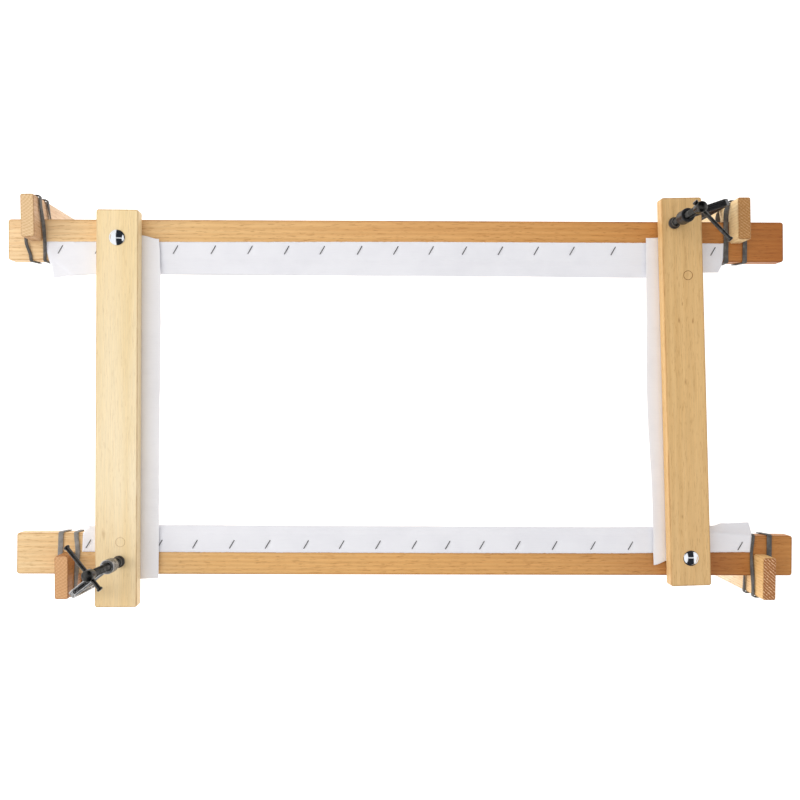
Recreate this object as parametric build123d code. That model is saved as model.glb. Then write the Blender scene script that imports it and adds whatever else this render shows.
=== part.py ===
from build123d import *
import os
from math import cos, radians, sin

# Tapestry frame loom: two long rails, two side bars and four legs of planed
# wood, held together by two coach bolts and two small G-clamps. All sizes are
# in millimetres. +X runs along the rails, +Y goes from the bottom rail to the
# top rail, +Z points up, and the feet stand on Z = 0.

# Timber
BOARD_WIDTH = 44.0
BOARD_THICKNESS = 14.0
RAIL_LENGTH = 844.0
BAR_LENGTH = 420.0
LEG_LENGTH = 200.0
LEG_WIDTH = 45.4
LEG_ABOVE_RAIL = 22.0
NOTCH_DEPTH = 23.6
NOTCH_PLAY = 0.2
RAIL_EDGE_RADIUS = 0.8
RAIL_CORNER_RADIUS = 3.0
BAR_EDGE_RADIUS = 1.3
BAR_CORNER_RADIUS = 2.6
LEG_EDGE_RADIUS = 0.8
WORN_CORNER = 3.4
CRISP_CORNER = 2.4
OUTER_CORNER = 2.2

# Where each member lies: centre x, centre y, turn about Z in degrees
TOP_RAIL = (-4.2, 173.2, 0.0)
BOTTOM_RAIL = (4.0, -168.0, -0.76)
LEFT_BAR = (-307.0, -7.6, -0.37)
RIGHT_BAR = (301.9, 8.0, 1.25)

# Legs: distance along the rail from its centre, turn about Z in degrees, radius
# of the two inner corners, and the band's height above and below the rail
TOP_LEFT_LEG = (-392.6, 1.0, WORN_CORNER, 6.2, 0.8)
TOP_RIGHT_LEG = (368.0, 0.6, CRISP_CORNER, 0.8, 4.2)
BOTTOM_LEFT_LEG = (-366.3, 0.2, WORN_CORNER, 0.8, 1.2)
BOTTOM_RIGHT_LEG = (385.6, -1.2, CRISP_CORNER, 0.8, 1.2)

# Cotton webbing: the rail tapes and the side strips
WEBBING_THICKNESS = 0.8
TOP_WEBBING_ENDS = (-378.8, 350.0)
TOP_WEBBING_REACH = (-15.3, 21.0)
BOTTOM_WEBBING_ENDS = (-352.5, 372.1)
BOTTOM_WEBBING_REACH = (-10.5, 22.3)
STRIP_WIDTH = 34.0
LEFT_STRIP_SHOWS = 19.6
LEFT_STRIP_SPAN = (-181.0, 183.2)
RIGHT_STRIP_SHOWS = 15.2
RIGHT_STRIP_SPAN = (-188.5, 170.0)
STRIP_GAP = 0.6
BOLT_HOLE_IN_WEBBING = 3.5

# Staples
STAPLE_CROWN = 11.2
STAPLE_WIRE_WIDTH = 0.95
STAPLE_WIRE_THICKNESS = 0.5
STAPLE_LEG = 8.0
STAPLE_LEAN = 60.0
STAPLE_PITCH = 39.4
STAPLE_COUNT = 19
STAPLE_FROM_CENTRE = 10.5
TOP_STAPLE_START = -366.6
TOP_STAPLE_DRIFT = (0, 0, 2, 4, 5, 5, 5, 4, 5, 5, 4, 1, 1, 1, 1, 7, 8, 7, 0)
BOTTOM_STAPLE_START = -346.1
BOTTOM_STAPLE_DRIFT = (0, -2, -3, -5, -5, -6, -4, -5, -5, -5, -8, -10, -10, -9, -6, -4, -3, -1, 0)
BAR_STAPLE_COUNT = 7
BAR_STAPLE_FROM_CENTRE = 15.0
BAR_STAPLE_SINK = 0.45

# Rubber bands that tie the legs to the rails
BAND_WIDTH = 5.5
BAND_THICKNESS = 1.1
BAND_GAP = 0.3
BAND_SIDE_GAP = 0.6

# M6 coach bolts, washers and wing nuts
BOLT_FROM_BAR_END = 30.0
BOLT_RADIUS = 3.0
BOLT_LENGTH = 50.0
BOLT_HEAD_RADIUS = 8.2
BOLT_HEAD_HEIGHT = 3.6
BOLT_NECK = 6.0
BOLT_NECK_DEPTH = 3.0
BOLT_HOLE_RADIUS = 3.1
WASHER_RADIUS = 9.0
WASHER_HOLE_RADIUS = 3.2
WASHER_THICKNESS = 1.6
NUT_BORE_RADIUS = 3.06
NUT_BASE_RADIUS = 5.6
NUT_TOP_RADIUS = 4.6
NUT_HEIGHT = 7.5
NUT_WING_THICKNESS = 2.4
STACK_GAP = 0.05

# Two-inch G-clamps: axis x, y, spine direction, head height above the rail,
# tommy bar direction, how far the bar is pushed through the head, and how many
# degrees the whole clamp leans towards +Y
UPPER_CLAMP = (289.1, 189.9, 18.5, 84.5, -46.4, 18.0, 0.0)
LOWER_CLAMP = (-304.6, -169.2, 218.0, 104.0, 128.6, 8.6, 3.1)
CLAMP_GAP = 0.1
JAW_OPENING = 58.0
SPINE_INNER = 40.5
SPINE_OUTER = 47.5
FLANGE_WIDTH = 7.6
FLANGE_THICKNESS = 3.0
WEB_THICKNESS = 4.0
GROOVE_WIDTH = 2.8
GROOVE_DEPTH = 1.2
ARM_DEPTH = 10.0
BOSS_RADIUS = 7.3
BOSS_HEIGHT = 14.0
ANVIL_RADIUS = 7.0
SCREW_RADIUS = 4.0
SCREW_BORE_RADIUS = 4.05
SCREW_HEAD_RADIUS = 5.7
SCREW_HEAD_HEIGHT = 11.0
PAD_RADIUS = 6.3
PAD_BASE = 3.0
PAD_HEIGHT = 7.0
PAD_COLLAR_RADIUS = 5.3
TOMMY_RADIUS = 2.0
TOMMY_HOLE_RADIUS = 2.05
TOMMY_LENGTH = 53.0
TOMMY_KNOB_RADIUS = 2.9
TOMMY_KNOB_LENGTH = 2.6

# Old pad marks on the bars: distances across and along each bar from its centre
MARK_RADIUS = 5.2
MARK_WIDTH = 0.7
MARK_DEPTH = 0.25
LEFT_BAR_MARK = (4.6, -141.2)
RIGHT_BAR_MARK = (5.1, 125.7)

# Levels of the stack, from the rails up
RAIL_TOP = LEG_LENGTH - LEG_ABOVE_RAIL
RAIL_BOTTOM = RAIL_TOP - BOARD_THICKNESS
STRIP_BOTTOM = RAIL_TOP + WEBBING_THICKNESS + STRIP_GAP
BAR_BOTTOM = STRIP_BOTTOM + WEBBING_THICKNESS
BAR_TOP = BAR_BOTTOM + BOARD_THICKNESS


def place(shape, at, z=0.0):
    """Moves a shape from its own centre to a member's place."""
    x, y, turn = at
    return Pos(x, y, z) * Rot(0, 0, turn) * shape


def along(member, x, y=0.0):
    """The point of the plan that lies at x, y in a member's own frame."""
    centre_x, centre_y, turn = member
    c, s = cos(radians(turn)), sin(radians(turn))
    return centre_x + c * x - s * y, centre_y + s * x + c * y


def block(x_range, y_range, z_range):
    """A box between two values on each axis."""
    (x0, x1), (y0, y1), (z0, z1) = x_range, y_range, z_range
    middle = ((x0 + x1) / 2, (y0 + y1) / 2, (z0 + z1) / 2)
    return Pos(*middle) * Box(x1 - x0, y1 - y0, z1 - z0)


def rod(radius, bottom, top):
    """A cylinder on the Z axis between two heights."""
    return Pos(0, 0, (bottom + top) / 2) * Cylinder(radius, top - bottom)


def board(length, width, edge_radius, corner_radius):
    """A planed board with rounded corners and eased arrises, on Z = 0."""
    body = extrude(RectangleRounded(length, width, corner_radius), BOARD_THICKNESS)
    return fillet(body.faces().filter_by(Axis.Z).edges(), edge_radius)


def rail(member, bolt_at):
    """A long rail, drilled for the coach bolt."""
    body = board(RAIL_LENGTH, BOARD_WIDTH, RAIL_EDGE_RADIUS, RAIL_CORNER_RADIUS)
    body -= Pos(*bolt_at, 0) * rod(BOLT_HOLE_RADIUS, -1, BOARD_THICKNESS + 1)
    return place(body, member, RAIL_BOTTOM)


def side_bar(member, bolt_y, mark):
    """A side bar with its bolt hole and the ring left by a clamp pad."""
    body = Rot(0, 0, 90) * board(BAR_LENGTH, BOARD_WIDTH, BAR_EDGE_RADIUS, BAR_CORNER_RADIUS)
    body -= Pos(0, bolt_y, 0) * rod(BOLT_HOLE_RADIUS, -1, BOARD_THICKNESS + 1)
    neck = BOLT_NECK + 2 * STACK_GAP
    neck_z = (BOARD_THICKNESS - BOLT_NECK_DEPTH - STACK_GAP, BOARD_THICKNESS + 1)
    body -= Pos(0, bolt_y, 0) * block((-neck / 2, neck / 2), (-neck / 2, neck / 2), neck_z)
    ring = Circle(MARK_RADIUS) - Circle(MARK_RADIUS - MARK_WIDTH)
    body -= Pos(*mark, BOARD_THICKNESS - MARK_DEPTH) * extrude(ring, 1.0)
    return place(body, member, BAR_BOTTOM)


def leg(member, at, outward):
    """A leg notched to half its width over the outer edge of a rail."""
    along_rail, turn, corner_radius = at[:3]
    inner = -NOTCH_DEPTH
    body = block(
        (-BOARD_THICKNESS / 2, BOARD_THICKNESS / 2), (inner, inner + LEG_WIDTH), (0, LEG_LENGTH)
    )
    body = fillet(body.edges().filter_by(Axis.Z).sort_by(Axis.Y)[:2], corner_radius)
    body = fillet(body.edges().filter_by(Axis.Z).sort_by(Axis.Y)[-2:], OUTER_CORNER)
    body = fillet(body.faces().filter_by(Axis.Z).edges(), LEG_EDGE_RADIUS)
    body -= block(
        (-BOARD_THICKNESS, BOARD_THICKNESS),
        (inner - 1, NOTCH_PLAY),
        (RAIL_BOTTOM - NOTCH_PLAY, RAIL_TOP + NOTCH_PLAY),
    )
    x, y = along(member, along_rail, outward * BOARD_WIDTH / 2)
    flip = 0 if outward > 0 else 180
    return place(body, (x, y, turn + flip))


def band_strand(side, leg_z, rail_z):
    """One side of a band: on edge beside the leg, flat at the rail's edge."""
    leg_y = LEG_WIDTH - NOTCH_DEPTH + BAND_GAP + BAND_THICKNESS
    rail_y = -BOARD_WIDTH - BAND_GAP - BAND_THICKNESS
    start = BOARD_THICKNESS / 2 + BAND_SIDE_GAP
    at_leg = Plane((side * (start + BAND_THICKNESS / 2), leg_y, leg_z), x_dir=(1, 0, 0), z_dir=(0, 1, 0))
    at_rail = Plane((side * (start + BAND_WIDTH / 2), rail_y, rail_z), x_dir=(1, 0, 0), z_dir=(0, 1, 0))
    sections = (
        at_leg * Rectangle(BAND_THICKNESS, BAND_WIDTH),
        at_rail * Rectangle(BAND_WIDTH, BAND_THICKNESS),
    )
    return loft(sections, ruled=True)


def leg_band(member, at, outward):
    """A rubber band: over the leg in front, round the rail, over the leg behind."""
    half = BOARD_THICKNESS / 2 + BAND_SIDE_GAP + BAND_THICKNESS
    outer = LEG_WIDTH - NOTCH_DEPTH + BAND_GAP
    front_z = RAIL_TOP + at[3] + BAND_WIDTH / 2
    back_z = RAIL_BOTTOM - at[4] - BAND_WIDTH / 2
    band = None
    for z in (front_z, back_z):
        strap = block(
            (-half, half), (outer, outer + BAND_THICKNESS), (z - BAND_WIDTH / 2, z + BAND_WIDTH / 2)
        )
        band = strap if band is None else band + strap
    for side in (-1, 1):
        start = BOARD_THICKNESS / 2 + BAND_SIDE_GAP
        wrap_x = sorted((side * start, side * (start + BAND_WIDTH)))
        wrap = block(
            wrap_x,
            (-BOARD_WIDTH - BAND_GAP - BAND_THICKNESS, -BOARD_WIDTH - BAND_GAP),
            (RAIL_BOTTOM - BAND_GAP - BAND_THICKNESS, RAIL_TOP + BAND_GAP + BAND_THICKNESS),
        )
        front = band_strand(side, front_z, RAIL_TOP + BAND_GAP + BAND_THICKNESS / 2)
        back = band_strand(side, back_z, RAIL_BOTTOM - BAND_GAP - BAND_THICKNESS / 2)
        band = band + wrap + front + back
    x, y = along(member, at[0], outward * BOARD_WIDTH / 2)
    flip = 0 if outward > 0 else 180
    return place(band, (x, y, member[2] + flip))


def rail_webbing(member, ends, reach, inward, bolt_at):
    """The tape stapled along a rail's face, with its free edge past the rail."""
    edge = inward * BOARD_WIDTH / 2
    y_range = sorted((edge - inward * reach[0], edge - inward * reach[1]))
    tape = block(ends, y_range, (RAIL_TOP, RAIL_TOP + WEBBING_THICKNESS))
    tape -= Pos(*bolt_at, 0) * rod(BOLT_HOLE_IN_WEBBING, RAIL_TOP - 1, RAIL_TOP + 2)
    return place(tape, member)


def side_strip(member, shows, span, inward):
    """The tape fixed to the back of a side bar, showing along its inner edge."""
    edge = inward * BOARD_WIDTH / 2
    x_range = sorted((edge + inward * shows, edge + inward * (shows - STRIP_WIDTH)))
    return place(block(x_range, span, (STRIP_BOTTOM, STRIP_BOTTOM + WEBBING_THICKNESS)), member)


def staple(points_down=True):
    """One staple: crown on Z = 0 and two legs driven into the wood."""
    half = STAPLE_CROWN / 2
    down = -1 if points_down else 1
    crown_z = sorted((0, -down * STAPLE_WIRE_THICKNESS))
    leg_z = sorted((-down * STAPLE_WIRE_THICKNESS, down * STAPLE_LEG))
    wire_y = (-STAPLE_WIRE_WIDTH / 2, STAPLE_WIRE_WIDTH / 2)
    wire = block((-half, half), wire_y, crown_z)
    for x in (-half, half - STAPLE_WIRE_THICKNESS):
        wire += block((x, x + STAPLE_WIRE_THICKNESS), wire_y, leg_z)
    return wire


def rail_staples(member, start, drift, inward):
    """The row of leaning staples that holds a rail's tape."""
    row = []
    y = inward * STAPLE_FROM_CENTRE
    for count in range(STAPLE_COUNT):
        x = start + count * STAPLE_PITCH + drift[count]
        row.append(Pos(x, y, RAIL_TOP + WEBBING_THICKNESS) * Rot(0, 0, STAPLE_LEAN) * staple())
    return place(Compound(row), member)


def bar_staples(member, inward):
    """The staples that hold a side strip to the back of its bar, pressed into it."""
    row = []
    x = inward * BAR_STAPLE_FROM_CENTRE
    for count in range(BAR_STAPLE_COUNT):
        y = (count - (BAR_STAPLE_COUNT - 1) / 2) * STAPLE_PITCH
        row.append(Pos(x, y, STRIP_BOTTOM + BAR_STAPLE_SINK) * Rot(0, 0, 90 + STAPLE_LEAN) * staple(False))
    return place(Compound(row), member)


def coach_bolt():
    """Dome head, square neck and plain shank, hanging from Z = 0."""
    half = BOLT_NECK / 2
    bolt = rod(BOLT_RADIUS, -BOLT_LENGTH, 0)
    bolt = chamfer(bolt.edges().group_by(Axis.Z)[0], 0.6)
    bolt += block((-half, half), (-half, half), (-BOLT_NECK_DEPTH, 0))
    crown = BOLT_HEAD_RADIUS**2 / (2 * BOLT_HEAD_HEIGHT) + BOLT_HEAD_HEIGHT / 2
    dome = Pos(0, 0, BOLT_HEAD_HEIGHT - crown) * Sphere(crown)
    return bolt + (dome & rod(BOLT_HEAD_RADIUS, STACK_GAP, BOLT_HEAD_HEIGHT + 1)) + rod(5.0, 0, 1.0)


def washer():
    """A plain washer hanging from Z = 0."""
    return rod(WASHER_RADIUS, -WASHER_THICKNESS, 0) - rod(WASHER_HOLE_RADIUS, -5, 5)


def wing_nut():
    """A wing nut under Z = 0 with its two wings pointing down and out."""
    hub = Pos(0, 0, -NUT_HEIGHT / 2) * Cone(NUT_TOP_RADIUS, NUT_BASE_RADIUS, NUT_HEIGHT)
    outline = Polygon(
        (3.8, -1.5), (6.0, -1.5), (12.4, -6.2), (14.0, -9.6), (13.0, -12.2), (10.4, -12.6), (3.8, -6.4),
        align=None,
    )
    outline = fillet(outline.vertices().sort_by(Axis.X)[-4:], 1.4)
    wing = extrude(Plane.XZ * outline, NUT_WING_THICKNESS / 2, both=True)
    nut = hub + wing + Rot(0, 0, 180) * wing
    return nut - rod(NUT_BORE_RADIUS, -NUT_HEIGHT - 6, 1)


def clamp_frame(slack):
    """C-shaped clamp body: thin web, broad outer flange, boss and anvil."""
    anvil_z = RAIL_BOTTOM - CLAMP_GAP - slack
    arm_z = anvil_z + JAW_OPENING
    arm_top = arm_z + ARM_DEPTH
    outer = Polygon(
        (-6.0, anvil_z - 7.5), (SPINE_OUTER - 9, anvil_z - 11.5), (SPINE_OUTER, anvil_z - 3),
        (SPINE_OUTER, arm_top - 5), (SPINE_OUTER - 6, arm_top + 1), (-4.0, arm_top), (-4.0, arm_z),
        (SPINE_INNER - 4, arm_z), (SPINE_INNER, arm_z - 4), (SPINE_INNER, anvil_z + 2),
        (SPINE_INNER - 4, anvil_z - 2), (-6.0, anvil_z - 2),
        align=None,
    )
    core = Polygon(
        (-9.0, anvil_z - 7.5 + FLANGE_THICKNESS), (SPINE_OUTER - 10, anvil_z - 11.5 + FLANGE_THICKNESS),
        (SPINE_OUTER - FLANGE_THICKNESS, anvil_z - 2), (SPINE_OUTER - FLANGE_THICKNESS, arm_top - 7),
        (SPINE_OUTER - 8, arm_top - FLANGE_THICKNESS), (-9.0, arm_top - FLANGE_THICKNESS),
        align=None,
    )
    web = extrude(Plane.XZ * outer, WEB_THICKNESS / 2, both=True)
    flange = extrude(Plane.XZ * (outer - core), FLANGE_WIDTH / 2, both=True)
    boss = rod(BOSS_RADIUS, arm_top - BOSS_HEIGHT, arm_top + 1)
    anvil = rod(ANVIL_RADIUS, anvil_z - 5, anvil_z)
    groove_y = (-GROOVE_WIDTH / 2, GROOVE_WIDTH / 2)
    body = web + flange
    body -= block((BOSS_RADIUS, SPINE_OUTER - 6), groove_y, (arm_top - GROOVE_DEPTH, arm_top + 5))
    body -= block((SPINE_OUTER - GROOVE_DEPTH, SPINE_OUTER + 5), groove_y, (anvil_z, arm_top - 8))
    body = body + boss + anvil
    body -= rod(SCREW_BORE_RADIUS, arm_z - 10, arm_top + 5)
    return body


def swivel_pad(slack):
    """The pad at the screw's end, with a socket for the screw."""
    bottom = BAR_TOP + CLAMP_GAP + slack
    pad = rod(PAD_RADIUS, bottom, bottom + PAD_BASE)
    pad = chamfer(pad.edges().group_by(Axis.Z)[-1], 0.8)
    pad += rod(PAD_COLLAR_RADIUS, bottom, bottom + PAD_HEIGHT)
    return pad - rod(SCREW_BORE_RADIUS, bottom + PAD_BASE + 1, bottom + PAD_HEIGHT + 1)


def clamp_screw(head_z, tommy_turn, slack):
    """The screw and its drum head, cross-drilled for the tommy bar."""
    bottom = BAR_TOP + CLAMP_GAP + slack + PAD_BASE + 1 + STACK_GAP
    top = RAIL_TOP + head_z + SCREW_HEAD_HEIGHT / 2
    head = rod(SCREW_HEAD_RADIUS, top - SCREW_HEAD_HEIGHT, top)
    head = chamfer(head.edges(), 0.9)
    screw = rod(SCREW_RADIUS, bottom, top - 2) + head
    hole = Rot(0, 90, 0) * Cylinder(TOMMY_HOLE_RADIUS, 4 * SCREW_HEAD_RADIUS)
    return screw - Pos(0, 0, RAIL_TOP + head_z) * Rot(0, 0, tommy_turn) * hole


def tommy_bar(head_z, turn, offset):
    """The sliding bar through the screw's head, with its two upset ends."""
    half = TOMMY_LENGTH / 2
    bar = Cylinder(TOMMY_RADIUS, TOMMY_LENGTH)
    for end in (-1, 1):
        knob = Cylinder(TOMMY_KNOB_RADIUS, TOMMY_KNOB_LENGTH)
        knob = fillet(knob.edges(), 1.0)
        bar += Pos(0, 0, end * (half - TOMMY_KNOB_LENGTH / 2)) * knob
    lying = Pos(offset, 0, 0) * Rot(0, 90, 0) * bar
    return Pos(0, 0, RAIL_TOP + head_z) * Rot(0, 0, turn) * lying


def add_clamp(parts, name, clamp):
    """The four pieces of one G-clamp, leaning about the bar's face."""
    x, y, spine_turn, head_z, tommy_turn, offset, lean = clamp
    slack = ANVIL_RADIUS * sin(radians(lean))
    lying = Pos(x, y, BAR_TOP) * Rot(-lean, 0, 0) * Pos(0, 0, -BAR_TOP)
    parts[name + "_frame"] = lying * Rot(0, 0, spine_turn) * clamp_frame(slack)
    parts[name + "_swivel_pad"] = lying * swivel_pad(slack)
    parts[name + "_screw"] = lying * clamp_screw(head_z, tommy_turn, slack)
    parts[name + "_tommy_bar"] = lying * tommy_bar(head_z, tommy_turn, offset)


def add_bolt(parts, name, bar, bolt_y, nut_turn):
    """A coach bolt with its washer and wing nut behind the rail."""
    x, y = along(bar, 0, bolt_y)
    parts[name + "_coach_bolt"] = place(coach_bolt(), (x, y, bar[2]), BAR_TOP)
    washer_z = RAIL_BOTTOM - STACK_GAP
    parts[name + "_washer"] = place(washer(), (x, y, 0), washer_z)
    nut_z = washer_z - WASHER_THICKNESS - STACK_GAP
    parts[name + "_wing_nut"] = place(wing_nut(), (x, y, nut_turn), nut_z)


def seen_from(member, point):
    """A point of the plan in a member's own frame."""
    x, y = point[0] - member[0], point[1] - member[1]
    c, s = cos(radians(member[2])), sin(radians(member[2]))
    return c * x + s * y, c * y - s * x


def build():
    parts = {}
    left_bolt_y = BAR_LENGTH / 2 - BOLT_FROM_BAR_END
    right_bolt_y = -left_bolt_y
    top_bolt = seen_from(TOP_RAIL, along(LEFT_BAR, 0, left_bolt_y))
    bottom_bolt = seen_from(BOTTOM_RAIL, along(RIGHT_BAR, 0, right_bolt_y))

    parts["top_rail"] = rail(TOP_RAIL, top_bolt)
    parts["bottom_rail"] = rail(BOTTOM_RAIL, bottom_bolt)
    parts["left_side_bar"] = side_bar(LEFT_BAR, left_bolt_y, LEFT_BAR_MARK)
    parts["right_side_bar"] = side_bar(RIGHT_BAR, right_bolt_y, RIGHT_BAR_MARK)

    legs = (
        ("top_left", TOP_RAIL, TOP_LEFT_LEG, 1),
        ("top_right", TOP_RAIL, TOP_RIGHT_LEG, 1),
        ("bottom_left", BOTTOM_RAIL, BOTTOM_LEFT_LEG, -1),
        ("bottom_right", BOTTOM_RAIL, BOTTOM_RIGHT_LEG, -1),
    )
    for name, member, at, outward in legs:
        parts[name + "_leg"] = leg(member, at, outward)
        parts[name + "_band"] = leg_band(member, at, outward)

    parts["top_webbing"] = rail_webbing(TOP_RAIL, TOP_WEBBING_ENDS, TOP_WEBBING_REACH, -1, top_bolt)
    parts["bottom_webbing"] = rail_webbing(
        BOTTOM_RAIL, BOTTOM_WEBBING_ENDS, BOTTOM_WEBBING_REACH, 1, bottom_bolt
    )
    parts["left_strip"] = side_strip(LEFT_BAR, LEFT_STRIP_SHOWS, LEFT_STRIP_SPAN, 1)
    parts["right_strip"] = side_strip(RIGHT_BAR, RIGHT_STRIP_SHOWS, RIGHT_STRIP_SPAN, -1)
    parts["top_staples"] = rail_staples(TOP_RAIL, TOP_STAPLE_START, TOP_STAPLE_DRIFT, -1)
    parts["bottom_staples"] = rail_staples(BOTTOM_RAIL, BOTTOM_STAPLE_START, BOTTOM_STAPLE_DRIFT, 1)
    parts["left_bar_staples"] = bar_staples(LEFT_BAR, 1)
    parts["right_bar_staples"] = bar_staples(RIGHT_BAR, -1)

    add_bolt(parts, "left", LEFT_BAR, left_bolt_y, 25)
    add_bolt(parts, "right", RIGHT_BAR, right_bolt_y, 70)
    add_clamp(parts, "upper_clamp", UPPER_CLAMP)
    add_clamp(parts, "lower_clamp", LOWER_CLAMP)
    return parts


os.makedirs("parts", exist_ok=True)
for node, shape in build().items():
    export_step(shape, "parts/" + node + ".step")
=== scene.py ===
import math
import random

import bmesh
import bpy
import numpy as np
from mathutils import Matrix, Vector, noise


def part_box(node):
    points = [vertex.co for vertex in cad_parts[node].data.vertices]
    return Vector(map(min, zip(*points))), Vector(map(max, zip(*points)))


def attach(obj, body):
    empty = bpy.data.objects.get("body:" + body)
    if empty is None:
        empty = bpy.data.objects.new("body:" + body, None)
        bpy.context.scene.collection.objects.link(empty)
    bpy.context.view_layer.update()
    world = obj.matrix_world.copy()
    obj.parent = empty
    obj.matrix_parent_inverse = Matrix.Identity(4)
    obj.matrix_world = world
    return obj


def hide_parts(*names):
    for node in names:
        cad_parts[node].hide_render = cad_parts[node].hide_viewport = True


# Tapestry frame loom. Every length is in metres, in the frame's own axes: +X runs along the rails,
# +Y from the bottom rail to the top rail, and +Z out of the working face. The feet stand on Z = 0.

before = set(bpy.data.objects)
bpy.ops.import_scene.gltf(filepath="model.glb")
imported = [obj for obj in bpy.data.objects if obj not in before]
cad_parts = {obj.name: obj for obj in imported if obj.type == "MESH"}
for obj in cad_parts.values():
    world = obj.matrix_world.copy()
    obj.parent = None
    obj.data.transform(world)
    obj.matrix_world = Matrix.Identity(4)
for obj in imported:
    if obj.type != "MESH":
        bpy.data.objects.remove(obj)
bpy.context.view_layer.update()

MM = 0.001
RAIL_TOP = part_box("top_rail")[1].z
RAIL_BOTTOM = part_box("top_rail")[0].z
BAR_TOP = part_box("left_side_bar")[1].z
BAR_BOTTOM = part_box("left_side_bar")[0].z
BOARD_WIDTH = 44 * MM
BOARD_THICKNESS = 14 * MM
RAIL_LENGTH = 844 * MM
BAR_LENGTH = 420 * MM
LEG_WIDTH = 45.4 * MM
LEG_LENGTH = 200 * MM
NOTCH_DEPTH = 23.6 * MM
TURNS = {
    "top_rail": 0.0,
    "bottom_rail": -0.76,
    "left_side_bar": -0.37,
    "right_side_bar": 1.25,
    "top_left_leg": 1.0,
    "top_right_leg": 0.6,
    "bottom_left_leg": 0.2,
    "bottom_right_leg": -1.2,
}


def middle(node):
    """The centre of a CAD node's box."""
    low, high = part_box(node)
    return (low + high) / 2


def eased(share):
    """A share from 0 to 1 with a slow start and a slow end."""
    return share * share * (3 - 2 * share)


def turned(x, y, angle, centre=(0, 0)):
    """A point turned about the origin and then moved to a centre."""
    return (
        centre[0] + x * math.cos(angle) - y * math.sin(angle),
        centre[1] + x * math.sin(angle) + y * math.cos(angle),
    )


# ---- Materials ----

# A wave texture's Scale times the pitch in metres that it gives
WAVE_SPAN = 0.314
THREAD_PITCH = 1.1 * MM


def tone(red, green, blue):
    """A linear colour from its 0 to 255 display values."""
    linear = []
    for value in (red, green, blue):
        share = value / 255
        linear.append(share / 12.92 if share <= 0.04045 else ((share + 0.055) / 1.055) ** 2.4)
    return (*linear, 1.0)


class Tree:
    """The node tree of a material or a world, with a short call for each kind of node."""

    def __init__(self, owner):
        owner.use_nodes = True
        self.nodes, self.links = owner.node_tree.nodes, owner.node_tree.links

    def feed(self, socket, value):
        if isinstance(value, bpy.types.NodeSocket):
            self.links.new(value, socket)
        else:
            socket.default_value = value

    def node(self, kind, settings=None, **inputs):
        made = self.nodes.new("ShaderNode" + kind)
        for key, value in (settings or {}).items():
            setattr(made, key, value)
        for key, value in inputs.items():
            self.feed(made.inputs[key.replace("_", " ")], value)
        return made

    def math(self, operation, first, second=0.0):
        made = self.node("Math", {"operation": operation})
        for socket, value in zip(made.inputs, (first, second)):
            self.feed(socket, value)
        return made.outputs[0]

    def span(self, value, low, high, to_low=0.0, to_high=1.0):
        """Smoothly maps low..high to to_low..to_high."""
        return self.node(
            "MapRange", {"interpolation_type": "SMOOTHSTEP"}, Value=value,
            From_Min=low, From_Max=high, To_Min=to_low, To_Max=to_high,
        ).outputs[0]

    def mix(self, share, first, second, blend="MIX"):
        made = self.node("Mix", {"data_type": "RGBA", "blend_type": blend}, Factor=share)
        self.feed(made.inputs[6], first)
        self.feed(made.inputs[7], second)
        return made.outputs[2]

    def tinted(self, colour, tint):
        return self.mix(1.0, colour, tint, "MULTIPLY")


class Shade(Tree):
    """A material's nodes."""

    def __init__(self, name):
        self.material = bpy.data.materials.new(name)
        super().__init__(self.material)
        self.shader = self.nodes["Principled BSDF"]
        self.coordinates = self.nodes.new("ShaderNodeTexCoord")

    def scaled(self, vector, scale, shift=(0, 0, 0)):
        return self.node("Mapping", Vector=vector, Scale=scale, Location=shift).outputs[0]

    def framed(self, vector, **place):
        """A vector in the axes of a frame with this Location, Rotation or Scale."""
        return self.node("Mapping", {"vector_type": "TEXTURE"}, Vector=vector, **place).outputs[0]

    def noise(self, vector, scale=1.0, detail=3.0, roughness=0.5, distortion=0.0):
        return self.node(
            "TexNoise", Vector=vector, Scale=scale, Detail=detail, Roughness=roughness, Distortion=distortion
        ).outputs["Fac"]

    def wave(self, vector, pitch, settings, **inputs):
        """Bands or rings with a pitch in metres."""
        return self.node("TexWave", settings, Vector=vector, Scale=WAVE_SPAN / pitch, **inputs).outputs["Fac"]

    def ramp(self, value, stops):
        made = self.nodes.new("ShaderNodeValToRGB")
        self.feed(made.inputs[0], value)
        elements = made.color_ramp.elements
        while len(elements) < len(stops):
            elements.new(0.5)
        for element, (place, colour) in zip(elements, stops):
            element.position = place
            element.color = colour
        return made.outputs[0]

    def bump(self, height, strength, distance):
        made = self.node("Bump", Height=height, Strength=strength, Distance=distance)
        self.links.new(made.outputs[0], self.shader.inputs["Normal"])

    def finish(self, colour, roughness, **fixed):
        inputs = {"Base Color": colour, "Roughness": roughness, **fixed}
        for key, value in inputs.items():
            self.feed(self.shader.inputs[key.replace("_", " ")], value)
        return self.material


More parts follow.
